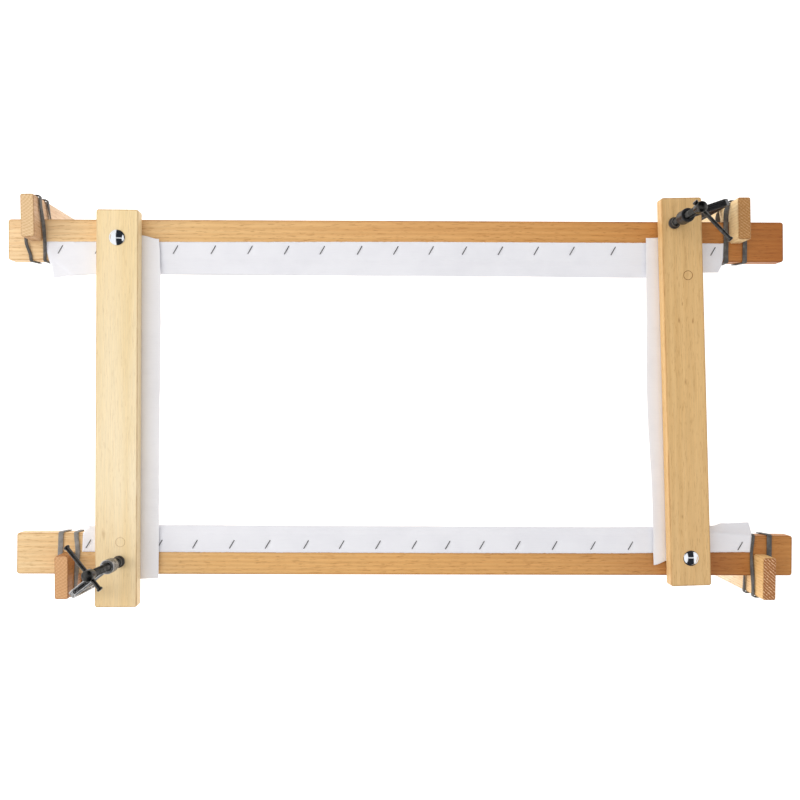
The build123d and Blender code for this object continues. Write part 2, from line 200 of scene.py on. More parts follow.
def wood(name, node, rotation, size, tones, streak, ring, pith, seed, look):
    """Planed wood. The board's own x runs along the grain, and pith is the heart's place in y and z."""
    s = Shade(name)
    half_x, half_y, half_z = (side / 2 for side in size)
    local = s.framed(s.coordinates.outputs["Object"], Location=middle(node), Rotation=rotation)
    facing = s.framed(s.coordinates.outputs["Normal"], Rotation=rotation)
    along, across, deep = s.node("SeparateXYZ", Vector=local).outputs
    sown = s.scaled(local, (1, 1, 1), (seed * 0.37, seed * 0.11, seed * 0.23))

    # Growth rings about the pith, drawn out along the grain
    heart = s.scaled(local, (look["draw"], 1, 1), (seed * 0.31, -pith[0], -pith[1]))
    rings = s.wave(
        heart, ring, {"wave_type": "RINGS", "rings_direction": "X"},
        Distortion=look["wobble"], Detail=3.0, Detail_Scale=look["wobble_scale"], Detail_Roughness=0.55,
    )
    broad = s.noise(s.scaled(sown, (5, 70, 70)), 1.0, 3.0, 0.55)
    fibre = s.noise(s.scaled(sown, (30, 900, 900)), 1.0, 4.0, 0.65)
    flow = s.noise(s.scaled(sown, (18, 380, 380)), 1.0, 4.0, 0.6, 0.6)
    pore_field = s.noise(s.scaled(sown, (115, 1250, 1250)), 1.0, 2.0, 0.5)
    pores = s.span(pore_field, 0.56, 0.70)

    # Tones along the board's length: on the rails and legs they hold painted light and shade as well as the
    # wood's own tone.
    share = s.math("ADD", s.math("DIVIDE", along, size[0]), 0.5)
    body = s.ramp(share, tones)
    dark = s.tinted(body, streak)
    colour = s.mix(s.math("MULTIPLY", rings, look["rings"]), body, dark)
    colour = s.mix(s.span(broad, 0.42, 0.75, 0.0, look["broad"]), colour, dark)
    colour = s.mix(s.span(flow, 0.50, 0.78, 0.0, look["flow"]), colour, dark)
    pale = s.tinted(colour, (1.10, 1.09, 1.07, 1.0))
    colour = s.mix(s.span(fibre, 0.35, 0.7), colour, pale)
    pore_tone = s.tinted(colour, look["pore_tone"])
    colour = s.mix(s.math("MULTIPLY", pores, look["pores"]), colour, pore_tone)

    # End grain: the rays cross the rings as fine slanted lines
    end = s.span(s.math("ABSOLUTE", s.node("SeparateXYZ", Vector=facing).outputs[0]), 0.75, 0.95)
    ray_place = s.node("Mapping", Vector=local, Rotation=(math.radians(look["ray_angle"]), 0, 0)).outputs[0]
    rays = s.wave(
        ray_place, look["ray_pitch"], {"wave_type": "BANDS", "bands_direction": "Y"},
        Distortion=1.6, Detail=2.0, Detail_Scale=1.5,
    )
    speckle = s.noise(s.scaled(sown, (900, 900, 900)), 1.0, 3.0, 0.6)
    ray_mask = s.math("MULTIPLY", s.span(rays, 0.55, 0.95), s.span(speckle, 0.38, 0.62))
    end_dark = s.tinted(look["end_tone"], streak)
    end_body = s.mix(s.math("MULTIPLY", rings, 0.75), look["end_tone"], end_dark)
    end_colour = s.mix(s.math("MULTIPLY", ray_mask, look["rays"]), end_body, look["ray_tone"])
    colour = s.mix(end, colour, end_colour)

    # The eased arrises are darker, in patches
    arris_patches = s.noise(s.scaled(sown, (40, 300, 300)), 1.0, 3.0, 0.6)
    out_x, out_y, out_z = (s.math("ABSOLUTE", place) for place in (along, across, deep))
    edge_x = s.span(out_x, half_x - 2.0 * MM, half_x - 0.5 * MM)
    edge_y = s.span(out_y, half_y - 1.9 * MM, half_y - 0.5 * MM)
    edge_z = s.span(out_z, half_z - 1.6 * MM, half_z - 0.3 * MM)
    corner = s.math("MULTIPLY", edge_y, edge_z)
    rim = s.math("MAXIMUM", corner, s.math("MULTIPLY", edge_x, s.math("MAXIMUM", edge_y, edge_z)))
    worn = s.tinted(colour, (0.62, 0.50, 0.40, 1.0))
    colour = s.mix(s.math("MULTIPLY", rim, s.span(arris_patches, 0.30, 0.70, 0.35, 0.90)), colour, worn)
    if "groove" in look:
        # The floor of the pad mark, which lies just below the front face and away from the edges
        sunk = s.span(deep, half_z - 0.36 * MM, half_z - 0.28 * MM)
        for limit in (
            s.span(deep, half_z - 0.04 * MM, half_z - 0.14 * MM),
            s.span(out_y, half_y - 2 * MM, half_y - 3 * MM),
            s.span(out_x, half_x - 3 * MM, half_x - 4 * MM),
        ):
            sunk = s.math("MULTIPLY", sunk, limit)
        pressed = s.tinted(colour, (0.50, 0.36, 0.24, 1.0))
        colour = s.mix(s.math("MULTIPLY", sunk, look["groove"]), colour, pressed)
    for mark in look.get("marks", ()):
        colour = wood_mark(s, local, sown, colour, *mark)

    relief = s.math("ADD", s.math("MULTIPLY", rings, 0.35), s.math("MULTIPLY", fibre, 0.5))
    relief = s.math("SUBTRACT", relief, s.math("MULTIPLY", pores, 0.8))
    s.bump(relief, 0.35, 0.00025)
    sheen = s.span(broad, 0.3, 0.7, 0.42, 0.56)
    roughness = s.math("ADD", sheen, s.math("MULTIPLY", pores, 0.2))
    return s.finish(colour, roughness, Specular_IOR_Level=0.35)


def wood_mark(s, local, sown, colour, x, y, length, width, depth):
    """A small knot or brown fleck in the board's face, drawn out along the grain."""
    ragged = s.noise(s.scaled(sown, (160, 420, 420)), 1.0, 3.0, 0.6)
    offset = s.framed(local, Location=(x, y, 0), Scale=(length, width, 1))
    flat = s.node("VectorMath", {"operation": "MULTIPLY"}, Vector=offset)
    flat.inputs[1].default_value = (1, 1, 0)
    reach = s.node("VectorMath", {"operation": "LENGTH"}, Vector=flat.outputs[0])
    reach_value = s.math("ADD", reach.outputs["Value"], s.math("MULTIPLY", ragged, 0.9))
    share = s.span(reach_value, 0.45, 1.35, depth, 0.0)
    brown = s.tinted(colour, (0.48, 0.33, 0.20, 1.0))
    return s.mix(share, colour, brown)


def cloth(name, base, shade):
    """Plain-woven cotton: fine threads both ways, slubs and a soft nap."""
    s = Shade(name)
    place = s.coordinates.outputs["Object"]
    warp, weft = (
        s.wave(place, THREAD_PITCH, {"bands_direction": axis}, Distortion=1.2, Detail=2.0, Detail_Scale=0.6)
        for axis in "XY"
    )
    nap = s.noise(place, 2600, 3.0, 0.65)
    slub = s.noise(s.scaled(place, (60, 900, 900)), 1.0, 2.0, 0.5)
    cloud = s.noise(place, 24, 3.0, 0.6)
    threads = s.math("MULTIPLY", s.math("ADD", warp, weft), 0.5)
    share = s.math("ADD", s.math("MULTIPLY", threads, 0.22), s.span(cloud, 0.35, 0.7, 0.0, 0.4))
    share = s.math("ADD", share, s.span(slub, 0.5, 0.75, 0.0, 0.18))
    colour = s.mix(share, base, shade)
    relief = s.math("ADD", threads, s.math("MULTIPLY", nap, 0.8))
    s.bump(relief, 0.35, 0.00016)
    return s.finish(colour, s.span(nap, 0.3, 0.7, 0.82, 0.95), Sheen_Weight=0.15, Specular_IOR_Level=0.2)


def rubber(name, base, dust):
    """Grey strip rubber, dusty, with fine lines drawn along it by the cutting."""
    s = Shade(name)
    place = s.coordinates.outputs["Object"]
    smudge = s.noise(place, 140, 4.0, 0.6)
    grit = s.noise(place, 1500, 3.0, 0.6)
    lines = s.noise(s.scaled(place, (900, 60, 900)), 1.0, 3.0, 0.6)
    colour = s.mix(s.span(smudge, 0.38, 0.72, 0.05, 0.75), base, dust)
    colour = s.mix(s.span(lines, 0.5, 0.8, 0.0, 0.3), colour, dust)
    s.bump(s.math("ADD", s.math("MULTIPLY", lines, 0.6), s.math("MULTIPLY", grit, 0.5)), 0.4, 0.0002)
    return s.finish(colour, s.span(smudge, 0.3, 0.7, 0.52, 0.78), Specular_IOR_Level=0.4)


def steel(name, base, dull, rough, scratch, metallic=1.0):
    """Bright or oiled steel with fine scratches and a few dull patches."""
    s = Shade(name)
    place = s.coordinates.outputs["Object"]
    haze = s.noise(place, 160, 4.0, 0.6)
    lines = s.noise(s.scaled(place, (300, 2400, 900)), 1.0, 3.0, 0.7, 1.0)
    colour = s.mix(s.span(haze, 0.42, 0.75, 0.0, 0.7), base, dull)
    s.bump(lines, scratch, 0.00006)
    roughness = s.math("ADD", s.span(haze, 0.35, 0.75, rough[0], rough[1]), s.span(lines, 0.55, 0.8, 0.0, 0.08))
    return s.finish(colour, roughness, Metallic=metallic)


def iron(name, enamel, bare, wear, cast):
    """Cast iron under worn enamel: bare metal shows on the ridges and in chips."""
    s = Shade(name)
    place = s.coordinates.outputs["Object"]
    ridge = s.node("NewGeometry").outputs["Pointiness"]
    chips = s.noise(place, 330, 5.0, 0.65)
    grain = s.noise(place, 1400, 4.0, 0.6)
    mottled = s.noise(place, 90, 4.0, 0.6)
    share = s.math("ADD", s.span(ridge, wear[0], wear[1]), s.span(chips, wear[2], wear[2] + 0.10))
    share = s.math("MINIMUM", share, 1.0)
    coat = s.mix(s.span(mottled, 0.35, 0.7), enamel, s.tinted(enamel, (2.1, 2.0, 1.9, 1.0)))
    colour = s.mix(share, coat, bare)
    s.feed(s.shader.inputs["Metallic"], s.span(share, 0.1, 0.8, 0.35, 1.0))
    s.bump(s.math("ADD", s.math("MULTIPLY", grain, cast), s.math("MULTIPLY", share, -0.3)), 0.5, 0.00025)
    return s.finish(colour, s.span(grain, 0.3, 0.7, 0.30, 0.48), Specular_IOR_Level=0.5)


GRAIN = dict(
    draw=0.05, wobble=3.0, wobble_scale=1.1, rings=0.55, broad=0.5, flow=0.45, pores=0.55,
    pore_tone=(0.55, 0.42, 0.30, 1.0), ray_angle=40, ray_pitch=1.9 * MM, rays=0.55,
    end_tone=tone(226, 178, 122), ray_tone=tone(250, 214, 170),
)


def rail_wood(name, node, tones, seed):
    return wood(
        name, node, (0, 0, math.radians(TURNS[node])), (RAIL_LENGTH, BOARD_WIDTH, BOARD_THICKNESS), tones,
        (0.83, 0.74, 0.64, 1.0), 3.4 * MM, (34 * MM, -30 * MM), seed, GRAIN,
    )


def bar_wood(name, node, tones, streak, ring, pith, seed, look):
    return wood(
        name, node, (0, 0, math.radians(TURNS[node] + 90)), (BAR_LENGTH, BOARD_WIDTH, BOARD_THICKNESS), tones,
        streak, ring, pith, seed, {**GRAIN, **look},
    )


def leg_wood(name, node, tones, end_tone, ray_tone, rays, ray_angle, seed):
    look = {**GRAIN, "end_tone": end_tone, "ray_tone": ray_tone, "rays": rays, "ray_angle": ray_angle,
            "ray_pitch": 2.6 * MM}
    return wood(
        name, node, (0, math.radians(-90), math.radians(TURNS[node])), (LEG_LENGTH, LEG_WIDTH, BOARD_THICKNESS),
        tones, (0.84, 0.76, 0.66, 1.0), 3.0 * MM, (30 * MM, 18 * MM), seed, look,
    )


def dress(node, material):
    """Gives a CAD node its finish."""
    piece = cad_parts[node]
    piece.data.materials.clear()
    piece.data.materials.append(material)


# The rails darken towards their right ends: painted light falloff away from the lamps on the left, laid over
# the wood's own tone.
dress("top_rail", rail_wood("top_rail_wood", "top_rail", (
    (0.0, tone(243, 213, 168)), (0.25, tone(232, 190, 132)), (0.5, tone(227, 176, 114)),
    (0.75, tone(215, 157, 90)), (1.0, tone(178, 109, 48)),
), 1.3))
dress("bottom_rail", rail_wood("bottom_rail_wood", "bottom_rail", (
    (0.0, tone(241, 210, 162)), (0.25, tone(230, 183, 121)), (0.5, tone(228, 176, 110)),
    (0.75, tone(214, 160, 98)), (0.9, tone(178, 117, 62)), (1.0, tone(196, 137, 74)),
), 2.9))
dress("left_side_bar", bar_wood(
    "left_bar_wood", "left_side_bar",
    ((0.0, tone(241, 213, 166)), (0.3, tone(245, 227, 192)), (0.7, tone(240, 220, 181)),
     (1.0, tone(241, 217, 172))),
    (0.93, 0.88, 0.76, 1.0), 6.5 * MM, (6 * MM, -46 * MM), 4.1,
    dict(draw=0.035, wobble=2.0, rings=0.5, broad=0.75, flow=0.35, pores=0.2, groove=0.35,
         end_tone=tone(236, 208, 160), marks=((-133 * MM, 13 * MM, 9 * MM, 3.4 * MM, 0.35),)),
))
dress("right_side_bar", bar_wood(
    "right_bar_wood", "right_side_bar",
    ((0.0, tone(227, 189, 134)), (0.5, tone(226, 187, 129)), (1.0, tone(224, 185, 128))),
    (0.80, 0.73, 0.62, 1.0), 4.6 * MM, (-14 * MM, -40 * MM), 7.7,
    dict(wobble=3.4, rings=0.32, broad=0.5, flow=0.5, pores=0.36, groove=1.0, end_tone=tone(206, 164, 110),
         marks=((95 * MM, 2 * MM, 4 * MM, 1.2 * MM, 0.6), (77 * MM, 6 * MM, 5 * MM, 1.4 * MM, 0.9),
                (76 * MM, -9 * MM, 5 * MM, 1.4 * MM, 0.9), (10 * MM, 1 * MM, 5 * MM, 1.6 * MM, 0.5),
                (-135 * MM, 8 * MM, 4 * MM, 1.8 * MM, 0.5))),
))
# Foot, side, end grain and rays, then how far the rays show, their angle, and the seed
# The foot tone is a painted highlight that makes each leg paler towards its foot. The side tone is painted
# light and shade: paler on the right-hand legs, whose seen sides face the lamps on the left, darker on the
# left-hand legs.
LEG_TONES = {
    "top_left": ((236, 208, 178), (214, 178, 142), (229, 195, 150), (248, 220, 178), 0.45, 40, 3.1),
    "top_right": ((242, 216, 172), (246, 218, 168), (186, 134, 78), (226, 184, 132), 0.7, 38, 5.2),
    "bottom_left": ((200, 150, 104), (178, 124, 74), (220, 169, 120), (240, 200, 158), 0.4, 44, 8.4),
    "bottom_right": ((250, 226, 194), (236, 194, 132), (174, 112, 62), (250, 212, 168), 1.0, 42, 6.6),
}
for corner, (*tones, rays, angle, seed) in LEG_TONES.items():
    leg = corner + "_leg"
    foot, side, end, ray = (tone(*values) for values in tones)
    # Painted highlight towards the foot, then the side tone with its painted light and shade.
    stops = ((0.0, foot), (0.62, foot), (0.90, side))
    dress(leg, leg_wood(leg + "_wood", leg, stops, end, ray, rays, angle, seed))

WEBBING = cloth("cotton_webbing", (0.865, 0.86, 0.895, 1.0), (0.78, 0.775, 0.82, 1.0))
STRIP_CLOTH = cloth("cotton_strip", (0.90, 0.89, 0.915, 1.0), (0.81, 0.80, 0.83, 1.0))
BAND = rubber("band_rubber", (0.070, 0.066, 0.062, 1.0), (0.19, 0.18, 0.17, 1.0))
PALE_BAND = rubber("pale_band_rubber", (0.20, 0.19, 0.18, 1.0), (0.36, 0.34, 0.32, 1.0))
ZINC = steel("bright_zinc", (0.82, 0.83, 0.85, 1.0), (0.66, 0.67, 0.69, 1.0), (0.06, 0.13), 0.12)
DULL_ZINC = steel("dull_zinc", (0.62, 0.62, 0.63, 1.0), (0.42, 0.41, 0.40, 1.0), (0.28, 0.45), 0.4)
STAPLE = steel("staple_wire", (0.24, 0.235, 0.235, 1.0), (0.11, 0.105, 0.10, 1.0), (0.30, 0.45), 0.3)
SCREW_STEEL = steel("oiled_steel", (0.055, 0.053, 0.05, 1.0), (0.15, 0.14, 0.13, 1.0), (0.25, 0.42), 0.5)
BLACK_IRON = iron("black_iron", (0.018, 0.018, 0.02, 1.0), (0.22, 0.21, 0.20, 1.0), (0.53, 0.60, 0.66), 0.6)
WORN_IRON = iron("worn_iron", (0.03, 0.03, 0.032, 1.0), (0.55, 0.54, 0.53, 1.0), (0.49, 0.54, 0.52), 0.4)


# ---- Mesh tools ----


def make_piece(name, points, faces, material, body, slot, node, smooth):
    """A mesh piece that rides on a body and stands for a CAD node."""
    mesh = bpy.data.meshes.new(name)
    mesh.from_pydata([tuple(p) for p in points], [], faces)
    mesh.validate()
    mesh.materials.append(material)
    piece = bpy.data.objects.new(name, mesh)
    bpy.context.scene.collection.objects.link(piece)
    settle(piece, body, node, smooth)
    return piece


def settle(piece, body, node, smooth):
    """Outward normals, smooth shading up to an angle, and the piece's place in the frame."""
    mesh = bmesh.new()
    mesh.from_mesh(piece.data)
    bmesh.ops.recalc_face_normals(mesh, faces=mesh.faces)
    for face in mesh.faces:
        face.smooth = True
    for edge in mesh.edges:
        edge.smooth = not (len(edge.link_faces) == 2 and edge.calc_face_angle(0) > math.radians(smooth))
    mesh.to_mesh(piece.data)
    mesh.free()
    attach(piece, body)
    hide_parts(node)


def lathe(profile, centre, segments):
    """Points and faces of a closed profile of (radius, height) turned about Z."""
    count = len(profile)
    points = []
    for turn in range(segments):
        angle = 2 * math.pi * turn / segments
        for radius, height in profile:
            points.append((centre[0] + radius * math.cos(angle), centre[1] + radius * math.sin(angle), height))
    faces = []
    for turn in range(segments):
        here, beyond = turn * count, (turn + 1) % segments * count
        for step in range(count):
            ahead = (step + 1) % count
            faces.append((here + step, beyond + step, beyond + ahead, here + ahead))
    return points, faces


def skin(rows, count, looped=False):
    """Faces of a tube from rows of count points each: closed on itself where looped, or else capped."""
    faces = []
    for row in range(rows if looped else rows - 1):
        here, beyond = row * count, (row + 1) % rows * count
        for corner in range(count):
            ahead = (corner + 1) % count
            faces.append((here + corner, here + ahead, beyond + ahead, beyond + corner))
    if not looped:
        last = (rows - 1) * count
        faces += [tuple(range(count)), tuple(last + corner for corner in reversed(range(count)))]
    return faces


def cut_square(side, flat):
    """A square of side 1 with its corners cut: half the length left on each upright and each level side."""
    return [(-0.5, -side), (-flat, -0.5), (flat, -0.5), (0.5, -side),
            (0.5, side), (flat, 0.5), (-flat, 0.5), (-0.5, side)]


def join(*shapes):
    """One list of points and faces from several."""
    points, faces = [], []
    for more_points, more_faces in shapes:
        start = len(points)
        points.extend(more_points)
        faces.extend(tuple(start + corner for corner in face) for face in more_faces)
    return points, faces


ROWS_PER_TURN = 8


def threaded(radius, depth, pitch, bottom, top, centre, segments):
    """A closed rod with a helical thread that fades at both ends."""
    rows = max(4, int((top - bottom) / pitch * ROWS_PER_TURN))
    points = []
    for row in range(rows + 1):
        height = bottom + (top - bottom) * row / rows
        fade = min(1.0, (height - bottom) / pitch, (top - height) / pitch)
        for turn in range(segments):
            phase = (height / pitch - turn / segments) % 1.0
            groove = depth * abs(2 * phase - 1)
            reach = radius - groove if fade >= 1 else radius - depth + (depth - groove) * max(0.0, fade)
            angle = 2 * math.pi * turn / segments
            points.append((centre[0] + reach * math.cos(angle), centre[1] + reach * math.sin(angle), height))
    return points, skin(rows + 1, segments)


def arc(centre, radius, start, end, steps):
    """Points of an arc in a profile, from one angle to another in degrees."""
    made = []
    for step in range(steps + 1):
        angle = math.radians(start + (end - start) * step / steps)
        made.append((centre[0] + radius * math.cos(angle), centre[1] + radius * math.sin(angle)))
    return made


def cast_copy(node, voxel, rounds, name, material, body):
    """The CAD node's own shape with the soft edges of a casting."""
    piece = bpy.data.objects.new(name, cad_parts[node].data.copy())
    piece.data.materials.clear()
    piece.data.materials.append(material)
    bpy.context.scene.collection.objects.link(piece)
    remesh = piece.modifiers.new("voxels", "REMESH")
    remesh.mode = "VOXEL"
    remesh.voxel_size = voxel
    soften = piece.modifiers.new("soften", "SMOOTH")
    soften.factor = 0.5
    soften.iterations = rounds
    finished = bpy.data.meshes.new_from_object(piece.evaluated_get(bpy.context.evaluated_depsgraph_get()))
    piece.modifiers.clear()
    piece.data = finished
    settle(piece, body, node, 50)


def to_local(member, point):
    """A point of the plan in a rail's or bar's own axes: x along +X or across, y towards +Y."""
    centre = middle(member)
    return turned(point[0] - centre.x, point[1] - centre.y, math.radians(-TURNS[member]))


def sample(stops, x):
    """A smooth curve through (x, value) stops."""
    if x <= stops[0][0]:
        return stops[0][1]
    for (x0, v0), (x1, v1) in zip(stops, stops[1:]):
        if x <= x1:
            share = (x - x0) / (x1 - x0)
            return v0 + (v1 - v0) * eased(share)
    return stops[-1][1]


# ---- Cotton webbing along the rails, and the strips down the side bars ----

TAPE_THICKNESS = 0.7 * MM
TAPE_LIFT = 0.15 * MM
FRAY = 0.35 * MM
DIMPLE_DEPTH = 0.45 * MM
DIMPLE_REACH = 7 * MM


def cloth_slab(rows, columns, place, thickness):
    """A closed sheet: place(u, v) gives the middle of its thickness, and u, v run from 0 to 1."""
    points, faces = [], []
    middle_points = [
        [Vector(place(c / columns, r / rows)) for c in range(columns + 1)] for r in range(rows + 1)
    ]
    for side in (1, -1):
        for r in range(rows + 1):
            for c in range(columns + 1):
                here = middle_points[r][c]
                du = middle_points[r][min(c + 1, columns)] - middle_points[r][max(c - 1, 0)]
                dv = middle_points[min(r + 1, rows)][c] - middle_points[max(r - 1, 0)][c]
                up = du.cross(dv).normalized()
                if up.z < 0 and abs(up.z) > 0.2:
                    up = -up
                edge = min(r, rows - r, c, columns - c)
                half = thickness / 2 * (0.45 if edge == 0 else 0.9 if edge == 1 else 1.0)
                points.append(here + up * half * side)
    width = columns + 1
    layer = (rows + 1) * width
    for r in range(rows):
        for c in range(columns):
            a = r * width + c
            quad = (a, a + 1, a + 1 + width, a + width)
            faces.append(quad)
            faces.append(tuple(layer + corner for corner in reversed(quad)))
    rim = list(range(columns))
    rim += [r * width + columns for r in range(rows)]
    rim += [rows * width + c for c in range(columns, 0, -1)]
    rim += [r * width for r in range(rows, 0, -1)]
    for here, ahead in zip(rim, rim[1:] + rim[:1]):
        faces.append((here, here + layer, ahead + layer, ahead))
    return points, faces


def staple_places(node):
    """The centre of each staple's crown, read from the CAD node's separate solids."""
    mesh = bmesh.new()
    mesh.from_mesh(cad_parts[node].data)
    bmesh.ops.remove_doubles(mesh, verts=mesh.verts, dist=1e-6)
    left = set(mesh.verts)
    found = []
    while left:
        stack, island = [left.pop()], []
        while stack:
            vert = stack.pop()
            island.append(vert)
            for edge in vert.link_edges:
                other = edge.other_vert(vert)
                if other in left:
                    left.remove(other)
                    stack.append(other)
        cloud = np.array([vert.co for vert in island])
        flat = cloud[:, :2] - cloud[:, :2].mean(0)
        direction = np.linalg.svd(flat, full_matrices=False)[2][0]
        direction = direction if direction[1] > 0 else -direction
        found.append((cloud[:, 0].mean(), cloud[:, 1].mean(), cloud[:, 2].min(), cloud[:, 2].max(), direction))
    mesh.free()
    return sorted(found, key=lambda crown: (crown[0], crown[1]))


def rail_tape(name, node, rail, body, outline, seed, staples, inward, folds=()):
    """A rail's webbing. outline gives, along x, the edge on the rail and the free edge in the rail's own y."""
    on_rail, free, left, right = outline
    centre = middle(rail)
    turn = math.radians(TURNS[rail])
    crowns = [to_local(rail, (x, y)) for x, y, *_ in staple_places(staples)]
    rail_edge = inward * BOARD_WIDTH / 2

    def place(u, v):
        # v runs from the edge on the rail to the free edge
        start, end = sample(left, v), sample(right, v)
        x = start + (end - start) * u
        y = sample(on_rail, x) * (1 - v) + sample(free, x) * v
        fray = noise.noise(Vector((x * 900, seed, 0))) * FRAY
        y += fray * (1 - v) ** 6 + fray * 0.4 * v**10
        past = max(0.0, (y - rail_edge) * inward)
        z = RAIL_TOP + TAPE_THICKNESS / 2 + TAPE_LIFT
        swell = noise.noise(Vector((x * 26, seed + 3, v * 1.3)))
        z += (0.35 + 0.35 * swell) * MM * (1 - 0.6 * v)
        # The free edge turns gently down, and flutes a little along its length
        z -= min(past, 4 * MM) * 0.22
        z += past * 0.10 * noise.noise(Vector((x * 17, seed + 7, 0)))
        for x0, y0, x1, y1, step, slope, fade in folds:
            run = Vector((x1 - x0, y1 - y0)).normalized()
            off = (x - x0) * -run.y + (y - y0) * run.x
            if off > 0:
                shown = min(1.0, max(0.0, (fade[1] - x) / (fade[1] - fade[0])))
                z += shown * (min(off / (1.2 * MM), 1.0) * step + off * slope)
        for crown_x, crown_y in crowns:
            near = ((x - crown_x) / DIMPLE_REACH) ** 2 + ((y - crown_y) / DIMPLE_REACH) ** 2
            if near < 4:
                z -= DIMPLE_DEPTH * math.exp(-1.6 * near)
        z = max(z, RAIL_TOP + TAPE_THICKNESS / 2 + 0.04 * MM) if past <= 0 else z
        return (*turned(x, y, turn, centre), z)

    points, faces = cloth_slab(20, 420, place, TAPE_THICKNESS)
    piece = make_piece(name, points, faces, WEBBING, body, "webbing", node, 85)


def millimetres(*stops):
    """Stops in metres from stops in millimetres."""
    return tuple((a * MM, b * MM) for a, b in stops)


rail_tape(
    "top_webbing_tape", "top_webbing", "top_rail", "top_rail",
    (
        millimetres((-382, -2.2), (-260, -2.1), (0, -1.3), (260, -1.5), (355, -1.8)),
        millimetres((-382, -41.6), (-356, -38.6), (-330, -37.2), (-262, -37.1), (-110, -37.8), (0, -38.2),
                    (110, -38.6), (216, -39.4), (262, -39.8), (305, -37.0), (318, -34.2), (352, -33.6)),
        ((0.0, -382.2 * MM), (1.0, -375.6 * MM)),
        ((0.0, 355.6 * MM), (0.5, 354.2 * MM), (0.75, 352.5 * MM), (1.0, 349.0 * MM)),
    ),
    11.0, "top_staples", -1,
    (
        # The left end is turned under along a slanted fold
        (-351.9 * MM, -38.9 * MM, -365.2 * MM, -27.7 * MM, -0.9 * MM, 0.0, (-382 * MM, -300 * MM)),
    ),
)
rail_tape(
    "bottom_webbing_tape", "bottom_webbing", "bottom_rail", "bottom_rail",
    (
        millimetres((-356, 1.9), (-200, 1.9), (0, 1.8), (200, 2.0), (376, 3.9)),
        millimetres((-354, 28.4), (-347, 30.0), (-270, 31.0), (-120, 30.5), (0, 30.6), (105, 30.6), (208, 30.5),
                    (262, 31.2), (331, 33.0), (341, 36.6), (371, 37.9), (376, 33.0)),
        ((0.0, -352.6 * MM), (0.7, -352.2 * MM), (1.0, -346.0 * MM)),
        ((0.0, 374.8 * MM), (0.6, 376.0 * MM), (1.0, 369.0 * MM)),
    ),
    23.0, "bottom_staples", 1,
    (
        # The right end stands up off the rail along a crease
        (326.0 * MM, 26.6 * MM, 361.0 * MM, 23.9 * MM, 1.3 * MM, 0.55, (345 * MM, 320 * MM)),
    ),
)


def side_tape(name, node, bar, body, inner, outer, ends, seed, inward):
    """A bar's strip. inner is its free edge and outer its edge under the bar, both along the bar's y."""
    centre = middle(bar)
    turn = math.radians(TURNS[bar])
    low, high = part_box(node)
    level = (low.z + high.z) / 2

    def place(u, v):
        # v runs from the edge under the bar to the free edge, u from the bottom to the top
        start, end = sample(ends[0], v), sample(ends[1], v)
        y = start + (end - start) * u
        x = outer * (1 - v) + sample(inner, y) * v
        x += inward * noise.noise(Vector((y * 60, seed, 0))) * 0.5 * MM * v**3
        past = max(0.0, (x - inward * BOARD_WIDTH / 2) * inward)
        z = level
        z += past * (0.05 + 0.10 * noise.noise(Vector((y * 9, seed + 5, 0))))
        z += min(past, 3 * MM) * 0.16 * (1 + noise.noise(Vector((y * 21, seed + 9, 0))))
        z = max(z, level)
        return (*turned(x, y, turn, centre), z)

    points, faces = cloth_slab(16, 240, place, TAPE_THICKNESS)
    piece = make_piece(name, points, faces, STRIP_CLOTH, body, "webbing", node, 85)


side_tape(
    "left_strip_tape", "left_strip", "left_side_bar", "left_bar",
    millimetres((-184, 41.0), (-100, 41.6), (0, 41.8), (110, 42.4), (160, 41.6), (184, 40.2)),
    8.0 * MM,
    (((0.0, -184 * MM), (1.0, -182.0 * MM)), ((0.0, 186 * MM), (0.4, 185.6 * MM), (1.0, 181.6 * MM))),
    31.0, 1,
)
side_tape(
    "right_strip_tape", "right_strip", "right_side_bar", "right_bar",
    millimetres((-189, -36.0), (-120, -35.6), (0, -38.7), (100, -36.4), (150, -35.8), (170, -35.2)),
    -6.0 * MM,
    (((0.0, -184.5 * MM), (0.4, -184.5 * MM), (1.0, -189.0 * MM)), ((0.0, 170 * MM), (1.0, 169.4 * MM))),
    47.0, -1,
)


# ---- Staples ----


def staple_shape(x, y, low, high, direction, lift, rng, points_down):
    """One bent wire: two legs and a crown, with rounded bends and a flattened section."""
    half, bend = 5.6 * MM, 0.9 * MM
    wide, thick = 0.92 * MM, 0.5 * MM
    along = Vector((direction[0], direction[1], rng.uniform(-0.012, 0.012))).normalized()
    across = along.cross(Vector((0, 0, 1))).normalized()
    crown = (high if points_down else low) + (lift - thick / 2) * (1 if points_down else -1)
    down = -1 if points_down else 1
    tip = 8 * MM
    path = [(-half + thick / 2, down * tip), (-half + thick / 2, down * bend)]
    path += [(-half + thick / 2 + bend * (1 - math.cos(a)), down * bend * (1 - math.sin(a)))
             for a in (0.4, 0.8, 1.2, math.pi / 2)]
    path += [(-p, q) for p, q in reversed(path)]
    centre = Vector((x, y, crown))
    section = cut_square(0.25, 0.38)
    points = []
    for step, (p, q) in enumerate(path):
        before, after = path[max(step - 1, 0)], path[min(step + 1, len(path) - 1)]
        run = Vector((after[0] - before[0], after[1] - before[1])).normalized()
        out = Vector((-run.y, run.x))
        taper = 0.35 if step in (0, len(path) - 1) else 1.0
        for a, b in section:
            here = Vector((p, q)) + out * b * thick * taper
            points.append(centre + along * here.x + Vector((0, 0, 1)) * here.y + across * a * wide)
    return points, skin(len(path), len(section))


for node, body, points_down, lift, seed in (
    ("top_staples", "top_rail", True, 0.1 * MM, 5),
    ("bottom_staples", "bottom_rail", True, 0.1 * MM, 6),
    ("left_bar_staples", "left_bar", False, 0.0, 7),
    ("right_bar_staples", "right_bar", False, 0.0, 8),
):
    rng = random.Random(seed)
    wires = [staple_shape(*place, lift, rng, points_down) for place in staple_places(node)]
    make_piece(node + "_wire", *join(*wires), STAPLE, body, "staple_steel", node, 40)


# ---- Rubber bands ----

BAND_WIDTH = 5.5 * MM
BAND_THICKNESS = 1.1 * MM
BAND_GAP = 0.35 * MM


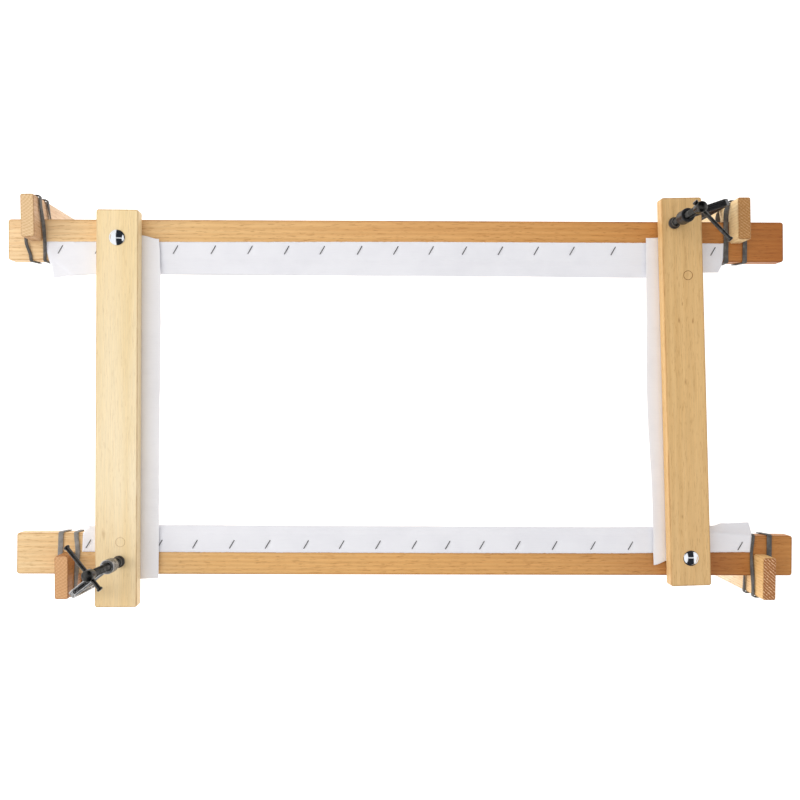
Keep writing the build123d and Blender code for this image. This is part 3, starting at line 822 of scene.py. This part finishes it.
def ribbon(frames, width, thickness):
    """A closed band swept through frames of (point, width direction, outward direction, share of the width)."""
    points = [
        point + wide * a * width * squeeze + out * b * thickness
        for point, wide, out, squeeze in frames
        for a, b in cut_square(0.3, 0.42)
    ]
    return points, skin(len(frames), 8, looped=True)


def leg_band(corner, outward, material, front, back, sides):
    """A band over the leg in front, round the rail's inner edge, and over the leg behind."""
    rail = "top_rail" if outward > 0 else "bottom_rail"
    angle = math.radians(TURNS[rail] + (0 if outward > 0 else 180))
    rail_middle = middle(rail)
    along = Vector((*turned(1, 0, math.radians(TURNS[rail])), 0))
    edge_line = rail_middle + along * ((middle(corner + "_leg").x - rail_middle.x) / along.x)
    origin = edge_line + Vector((-math.sin(angle), math.cos(angle), 0)) * BOARD_WIDTH / 2
    turn = Matrix.Rotation(angle, 3, "Z")

    def at(x, y, z):
        moved = turn @ Vector((x, y, 0))
        return Vector((origin.x + moved.x, origin.y + moved.y, z))

    half = BOARD_THICKNESS / 2 + 0.8 * MM + BAND_THICKNESS / 2
    far = LEG_WIDTH - NOTCH_DEPTH + BAND_GAP + BAND_THICKNESS / 2
    near = -BOARD_WIDTH - BAND_GAP - BAND_THICKNESS / 2
    front_z = RAIL_TOP + front * MM
    back_z = RAIL_BOTTOM - back * MM
    x_axis, y_axis, z_axis = Vector((1, 0, 0)), Vector((0, 1, 0)), Vector((0, 0, 1))
    bend = 1.1 * MM
    clear = 0.4 * MM + BAND_THICKNESS / 2
    notch_end = (far + NOTCH_DEPTH) / (far - near)

    def strand(side, sign):
        """Keys from the leg's outer edge to the rail's inner edge, turning from on edge to flat."""
        reach, flat_at, tuck, slim, _ = sides[side]
        strap_z, face_z = (front_z, RAIL_TOP) if sign > 0 else (back_z, RAIL_BOTTOM)
        steps, keys = 14, []
        edge_share = (far - 2 * MM) / (far - near)
        for step in range(steps + 1):
            share = step / steps
            twist = math.pi / 2 * eased(min(1.0, share / flat_at))
            late = max(0.0, (share - notch_end) / (1 - notch_end))
            x = half + (reach * MM - half) * math.sin(twist) - tuck * MM * eased(late)
            width = 1 + (slim - 1) * min(1.0, share * 1.6)
            rise = clear + BAND_WIDTH / 2 * width * math.cos(twist)
            slack = max(0.0, sign * (strap_z - face_z)) * (1 - share)
            line = face_z + sign * max(rise, slack)
            z = line if share > edge_share else strap_z + (line - strap_z) * share / edge_share
            sway = 0.5 * MM * noise.noise(Vector((share * 3.1, side * 2.0 + sign, front * MM * 900)))
            keys.append((
                (side * (x + max(0.0, sway)), far - bend + (near + 2 * bend - far) * share, z),
                z_axis * sign * math.cos(twist) - x_axis * side * math.sin(twist),
                x_axis * side * math.cos(twist) + z_axis * sign * math.sin(twist), width,
            ))
        return keys

    def side_frames(side):
        """Keys of one side: the strand in front, round the rail's inner edge, and the strand behind."""
        front, back = strand(side, 1), strand(side, -1)
        flat, width, shift = -x_axis * side, sides[side][3], sides[side][4] * MM
        x = front[-1][0][0]
        top_z, under_z = RAIL_TOP + clear, RAIL_BOTTOM - clear
        wrap = [
            ((x, near, top_z - bend), flat, -y_axis, width),
            ((x + shift * 0.3, near, (top_z + under_z) / 2), flat, -y_axis, width),
            ((x + shift, near, under_z + bend), flat, -y_axis, width),
        ]
        return front + wrap + back[::-1]

    def strap(z, side, sign):
        return [
            ((side * (half - bend), far, z), z_axis * sign, y_axis, 1.0),
            ((0.0, far + 0.05 * MM, z + 0.2 * MM), z_axis * sign, y_axis, 1.0),
            ((-side * (half - bend), far, z), z_axis * sign, y_axis, 1.0),
        ]

    keys = side_frames(1)
    keys += strap(back_z, 1, -1)
    keys += side_frames(-1)[::-1]
    keys += strap(front_z, -1, 1)
    keys = [(Vector(p), w.normalized(), o.normalized(), s) for p, w, o, s in keys]
    frames = []
    total = len(keys)
    for step in range(total):
        p0, p1, p2, p3 = (keys[(step + k) % total] for k in (-1, 0, 1, 2))
        gap = (p2[0] - p1[0]).length
        pieces = max(2, min(14, int(gap / (0.8 * MM))))
        before, after = (p1[0] - p0[0]).length, (p3[0] - p2[0]).length
        slope_1 = (p2[0] - p0[0]) / max(before + gap, 1e-6) * gap
        slope_2 = (p3[0] - p1[0]) / max(after + gap, 1e-6) * gap
        for k in range(pieces):
            t = k / pieces
            point = ((2 * t**3 - 3 * t**2 + 1) * p1[0] + (t**3 - 2 * t**2 + t) * slope_1
                     + (-2 * t**3 + 3 * t**2) * p2[0] + (t**3 - t**2) * slope_2)
            ease = eased(t)
            wide = p1[1].lerp(p2[1], ease).normalized()
            out = p1[2].lerp(p2[2], ease)
            out = (out - wide * out.dot(wide)).normalized()
            squeeze = p1[3] + (p2[3] - p1[3]) * ease
            frames.append((at(*point), turn @ wide, turn @ out, squeeze))
    make_piece(
        corner + "_rubber_band", *ribbon(frames, BAND_WIDTH, BAND_THICKNESS), material,
        corner + "_leg", "band_rubber", corner + "_band", 70,
    )


# Strap heights in front and behind, then for the right side (1) and the left (-1) the reach, the share at
# which it lies flat, tuck, share of the width, and hook. On the bottom rail the two sides swap over.
BAND_LOOKS = {
    "top_left": (9.0, -5.0, {1: (10.2, 0.9, 0.6, 0.62, 1.0), -1: (9.4, 0.72, 4.6, 0.62, 3.4)}),
    "top_right": (1.5, 6.0, {1: (10.3, 0.4, 0.3, 0.88, -6.0), -1: (10.6, 0.22, -0.2, 1.0, 0.5)}),
    "bottom_left": (3.6, 4.0, {1: (9.0, 0.74, 0.6, 0.95, -4.0), -1: (9.2, 0.85, 1.6, 0.85, -0.5)}),
    "bottom_right": (2.6, 4.0, {1: (9.6, 0.9, 2.2, 0.55, 0.0), -1: (10.3, 0.25, 0.0, 1.0, 5.0)}),
}
for corner, look in BAND_LOOKS.items():
    outward = 1 if corner.startswith("top") else -1
    leg_band(corner, outward, PALE_BAND if corner == "bottom_left" else BAND, *look)


# ---- Coach bolts, washers and wing nuts ----


def coach_bolt(side):
    """A domed head with a fine rim, and a shank threaded over its lower half."""
    node = side + "_coach_bolt"
    low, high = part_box(node)
    centre = middle(node)
    radius, height = 8.2 * MM, high.z - BAR_TOP
    crown = radius**2 / (2 * height) + height / 2
    top_angle = math.degrees(math.acos(radius / crown))
    base = BAR_TOP + 0.06 * MM
    dome = [(crown * math.cos(math.radians(a)), high.z - crown + crown * math.sin(math.radians(a)))
            for a in np.linspace(top_angle, 89.6, 18)]
    rim = [(0.05 * MM, base), (radius - 0.5 * MM, base), (radius, base + 0.3 * MM), (radius, base + 0.55 * MM)]
    profile = rim + [p for p in dome if p[1] > base + 0.6 * MM]
    head = lathe(profile, centre, 64)
    neck = square_rod(centre, 3.0 * MM, BAR_TOP - 3 * MM, BAR_TOP + 0.2 * MM, TURNS[side + "_side_bar"])
    thread_top = RAIL_BOTTOM + 4 * MM
    shank = [(0.05 * MM, thread_top), (2.95 * MM, thread_top), (2.95 * MM, BAR_TOP), (0.05 * MM, BAR_TOP)]
    plain = lathe(shank, centre, 32)
    thread = threaded(3.0 * MM, 0.45 * MM, 1.0 * MM, low.z, thread_top + 0.5 * MM, centre, 28)
    make_piece(side + "_bolt", *join(head, neck, plain, thread), ZINC, side + "_bar", "zinc_steel", node, 35)


def square_rod(centre, half, bottom, top, degrees):
    """A square neck with its corners cut."""
    flat = 0.5 - 0.5 * MM / (2 * half)
    angle, side = math.radians(degrees), 2 * half
    corners = [turned(side * a, side * b, angle, centre) for a, b in cut_square(flat, flat)]
    return [(*corner, z) for z in (bottom, top) for corner in corners], skin(2, len(corners))


def washer(side):
    """A pressed washer with rounded rims."""
    node = side + "_washer"
    low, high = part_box(node)
    inner, outer, soft = 3.2 * MM, 9.0 * MM, 0.35 * MM
    profile = [
        (inner, low.z + soft), (inner + soft, low.z), (outer - soft * 2, low.z),
        (outer, low.z + soft * 1.6), (outer, high.z - soft * 0.6), (outer - soft * 0.6, high.z),
        (inner + soft, high.z), (inner, high.z - soft),
    ]
    ring = lathe(profile, middle(node), 56)
    make_piece(node + "_ring", *ring, DULL_ZINC, node, "zinc_steel", node, 35)


for side in ("left", "right"):
    coach_bolt(side)
    washer(side)
    cast_copy(side + "_wing_nut", 0.32 * MM, 4, side + "_wing_nut_casting", DULL_ZINC,
              side + "_wing_nut")


# ---- G-clamps ----

ANVIL_RADIUS = 7 * MM
CLAMP_GAP = 0.1 * MM
SCREW_HEAD_HEIGHT = 11 * MM

# Axis x and y at the bar's face, lean towards +Y, head height above the rail, tommy bar direction and offset
CLAMPS = {
    "upper_clamp": (289.1 * MM, 189.9 * MM, 0.0, 84.5 * MM, -46.4, 18.0 * MM),
    "lower_clamp": (-304.6 * MM, -169.2 * MM, 3.1, 104.0 * MM, 128.6, 8.6 * MM),
}


def leaning(clamp, shape):
    """A shape made about the Z axis, moved to the clamp's leaning axis."""
    x, y, lean = CLAMPS[clamp][:3]
    move = Matrix.Translation((x, y, BAR_TOP)) @ Matrix.Rotation(math.radians(-lean), 4, "X")
    move = move @ Matrix.Translation((0, 0, -BAR_TOP))
    points, faces = shape
    return [move @ Vector(p) for p in points], faces


def pad_bottom(clamp):
    """The height of the pad's foot, set off so that a leaning pad's edge clears the bar."""
    return BAR_TOP + CLAMP_GAP + ANVIL_RADIUS * math.sin(math.radians(CLAMPS[clamp][2]))


def swivel_pad(clamp):
    """The turned pad, crimped round the screw's ball end."""
    foot = pad_bottom(clamp)
    bore, collar, base, top = 4.05 * MM, 5.3 * MM, 6.3 * MM, 7 * MM
    outline = [
        (0.05 * MM, 0.25 * MM), (4.4 * MM, 0.25 * MM), (4.8 * MM, 0), (base - 0.4 * MM, 0), (base, 0.4 * MM),
        (base, 2.1 * MM), (base - 0.5 * MM, 2.8 * MM), (collar, 3.2 * MM), (collar - 0.25 * MM, 4.0 * MM),
        (collar - 0.35 * MM, 5.6 * MM), (collar - 0.1 * MM, 6.4 * MM), (collar - 0.5 * MM, top),
        (bore + 0.2 * MM, top), (bore, top - 0.4 * MM), (bore, 4.0 * MM), (0.05 * MM, 4.0 * MM),
    ]
    shape = lathe([(r, foot + z) for r, z in outline], (0, 0), 48)
    make_piece(clamp + "_swivel_pad_turned", *leaning(clamp, shape), BLACK_IRON, clamp + "_pad", "clamp_iron",
               clamp + "_swivel_pad", 40)


def clamp_screw(clamp):
    """A threaded screw with a drum head, which the tommy bar passes through."""
    top = RAIL_TOP + CLAMPS[clamp][3] + SCREW_HEAD_HEIGHT / 2
    under = top - SCREW_HEAD_HEIGHT
    foot = pad_bottom(clamp) + 4.05 * MM
    thread = threaded(4.0 * MM, 0.7 * MM, 1.5 * MM, foot, under + 0.6 * MM, (0, 0), 32)
    radius = 5.7 * MM
    collar = [
        (0.05 * MM, under), (radius - 1.2 * MM, under), (radius - 0.25 * MM, under + 0.7 * MM),
        (radius, under + 1.5 * MM), (radius, top - 1.5 * MM), (radius - 0.3 * MM, top - 0.7 * MM),
        (radius - 1.2 * MM, top), (0.05 * MM, top),
    ]
    shape = join(thread, lathe(collar, (0, 0), 48))
    make_piece(clamp + "_screw_turned", *leaning(clamp, shape), SCREW_STEEL, clamp + "_screw", "clamp_steel",
               clamp + "_screw", 40)


def tommy_bar(clamp):
    """The sliding bar with an upset knob at each end."""
    head_z, turn, offset = CLAMPS[clamp][3:]
    half = 26.5 * MM
    radius, knob, long = 2.0 * MM, 2.9 * MM, 2.6 * MM
    side = [(0.04 * MM, -half)]
    side += [(knob - 1.1 * MM + r, -half + 1.1 * MM + z) for r, z in arc((0, 0), 1.1 * MM, -90, 0, 5)]
    end = long - half
    side += [(knob, end - 0.7 * MM), (knob - 0.5 * MM, end), (radius, end + 0.5 * MM)]
    profile = side + [(r, -z) for r, z in reversed(side)]
    points, faces = lathe(profile, (0, 0), 28)
    lying = Matrix.Translation((0, 0, RAIL_TOP + head_z)) @ Matrix.Rotation(math.radians(turn), 4, "Z")
    lying = lying @ Matrix.Translation((offset, 0, 0)) @ Matrix.Rotation(math.radians(90), 4, "Y")
    shape = ([lying @ Vector(p) for p in points], faces)
    make_piece(clamp + "_tommy_bar_turned", *leaning(clamp, shape), SCREW_STEEL, clamp + "_tommy_bar",
               "clamp_steel", clamp + "_tommy_bar", 40)


for clamp, metal, slot in (("upper_clamp", BLACK_IRON, "clamp_iron"), ("lower_clamp", WORN_IRON, "worn_iron")):
    cast_copy(clamp + "_frame", 0.5 * MM, 5, clamp + "_casting", metal, clamp + "_frame")
    swivel_pad(clamp)
    clamp_screw(clamp)
    tommy_bar(clamp)


# ---- Floor, light and camera ----


def floor():
    """White paper under the feet."""
    mesh = bpy.data.meshes.new("studio_floor")
    reach, level = 6.0, -0.5 * MM
    mesh.from_pydata([(-reach, -reach, level), (reach, -reach, level), (reach, reach, level),
                      (-reach, reach, level)], [], [(0, 1, 2, 3)])
    paper = bpy.data.materials.new("floor_paper")
    paper.use_nodes = True
    shader = paper.node_tree.nodes["Principled BSDF"]
    shader.inputs["Base Color"].default_value = (0.86, 0.86, 0.86, 1)
    shader.inputs["Roughness"].default_value = 0.9
    shader.inputs["Emission Color"].default_value = (1, 1, 1, 1)
    shader.inputs["Emission Strength"].default_value = 0.55
    mesh.materials.append(paper)
    plane = bpy.data.objects.new("studio_floor", mesh)
    bpy.context.scene.collection.objects.link(plane)


def area_light(name, place, size, power):
    """A soft lamp that looks at the loom and isn't seen in reflections."""
    lamp = bpy.data.lights.new(name, "AREA")
    lamp.shape = "RECTANGLE"
    lamp.size, lamp.size_y = size
    lamp.energy = power
    holder = bpy.data.objects.new(name, lamp)
    holder.location = place
    holder.rotation_euler = (Vector(LIGHT_TARGET) - Vector(place)).to_track_quat("-Z", "Y").to_euler()
    holder.visible_glossy = False
    bpy.context.scene.collection.objects.link(holder)


WORLD_LIGHT = 0.76
KEY_POWER = 19
SIDE_POWER = 14
LIGHT_TARGET = (0, 0, 0.18)
# The dark side of the room, a painted reflection seen only by glossy rays, as shares of a direction: where it
# begins and ends in X, and its gap about Y = 0
DARK_FROM = (-0.38, -0.30)
DARK_TO = (0.64, 0.72)
DARK_GAP = (0.0, 0.15)


def studio():
    """Even white light all round; glossy rays alone see a brighter room with a dark side, a painted reflection
    so that the plated domes have something to reflect.
    """
    world = bpy.data.worlds.new("studio")
    bpy.context.scene.world = world
    tree = Tree(world)
    background = tree.nodes["Background"]
    background.inputs["Strength"].default_value = WORLD_LIGHT
    x, y, _ = tree.node("SeparateXYZ", Vector=tree.node("TexCoord").outputs["Generated"]).outputs
    reflected_dark_side = tree.math("MULTIPLY", tree.span(x, *DARK_FROM), tree.span(x, *DARK_TO, 1.0, 0.0))
    reflected_dark_side = tree.math("MULTIPLY", reflected_dark_side, tree.span(tree.math("ABSOLUTE", y), *DARK_GAP))
    room = tree.mix(reflected_dark_side, (1.5, 1.52, 1.55, 1), (0.03, 0.035, 0.045, 1))
    # Painted reflection: only glossy rays see the brighter room and its dark side, all other rays see even
    # white.
    seen = tree.mix(tree.node("LightPath").outputs["Is Glossy Ray"], (1, 1, 1, 1), room)
    tree.feed(background.inputs["Color"], seen)
    area_light("key", (-1.7, 0.8, 2.1), (2.2, 2.2), KEY_POWER)
    area_light("side", (-1.9, 0.0, 0.55), (0.8, 1.6), SIDE_POWER)


CAMERA_LENS = 35.18
SENSOR_WIDTH = 36
CAMERA_PLACE = (-0.03598, -0.0022, 1.028)
CAMERA_TURN = (0.00274301, -0.0337636, -0.00353240)


def camera():
    """The camera that took the loom from above, level with the middle of the rails."""
    lens = bpy.data.cameras.new("camera")
    lens.lens = CAMERA_LENS
    lens.sensor_width = SENSOR_WIDTH
    holder = bpy.data.objects.new("camera", lens)
    holder.location = CAMERA_PLACE
    holder.rotation_euler = CAMERA_TURN
    bpy.context.scene.collection.objects.link(holder)
    bpy.context.scene.camera = holder


floor()
studio()
camera()
bpy.context.scene.view_settings.view_transform = "Standard"
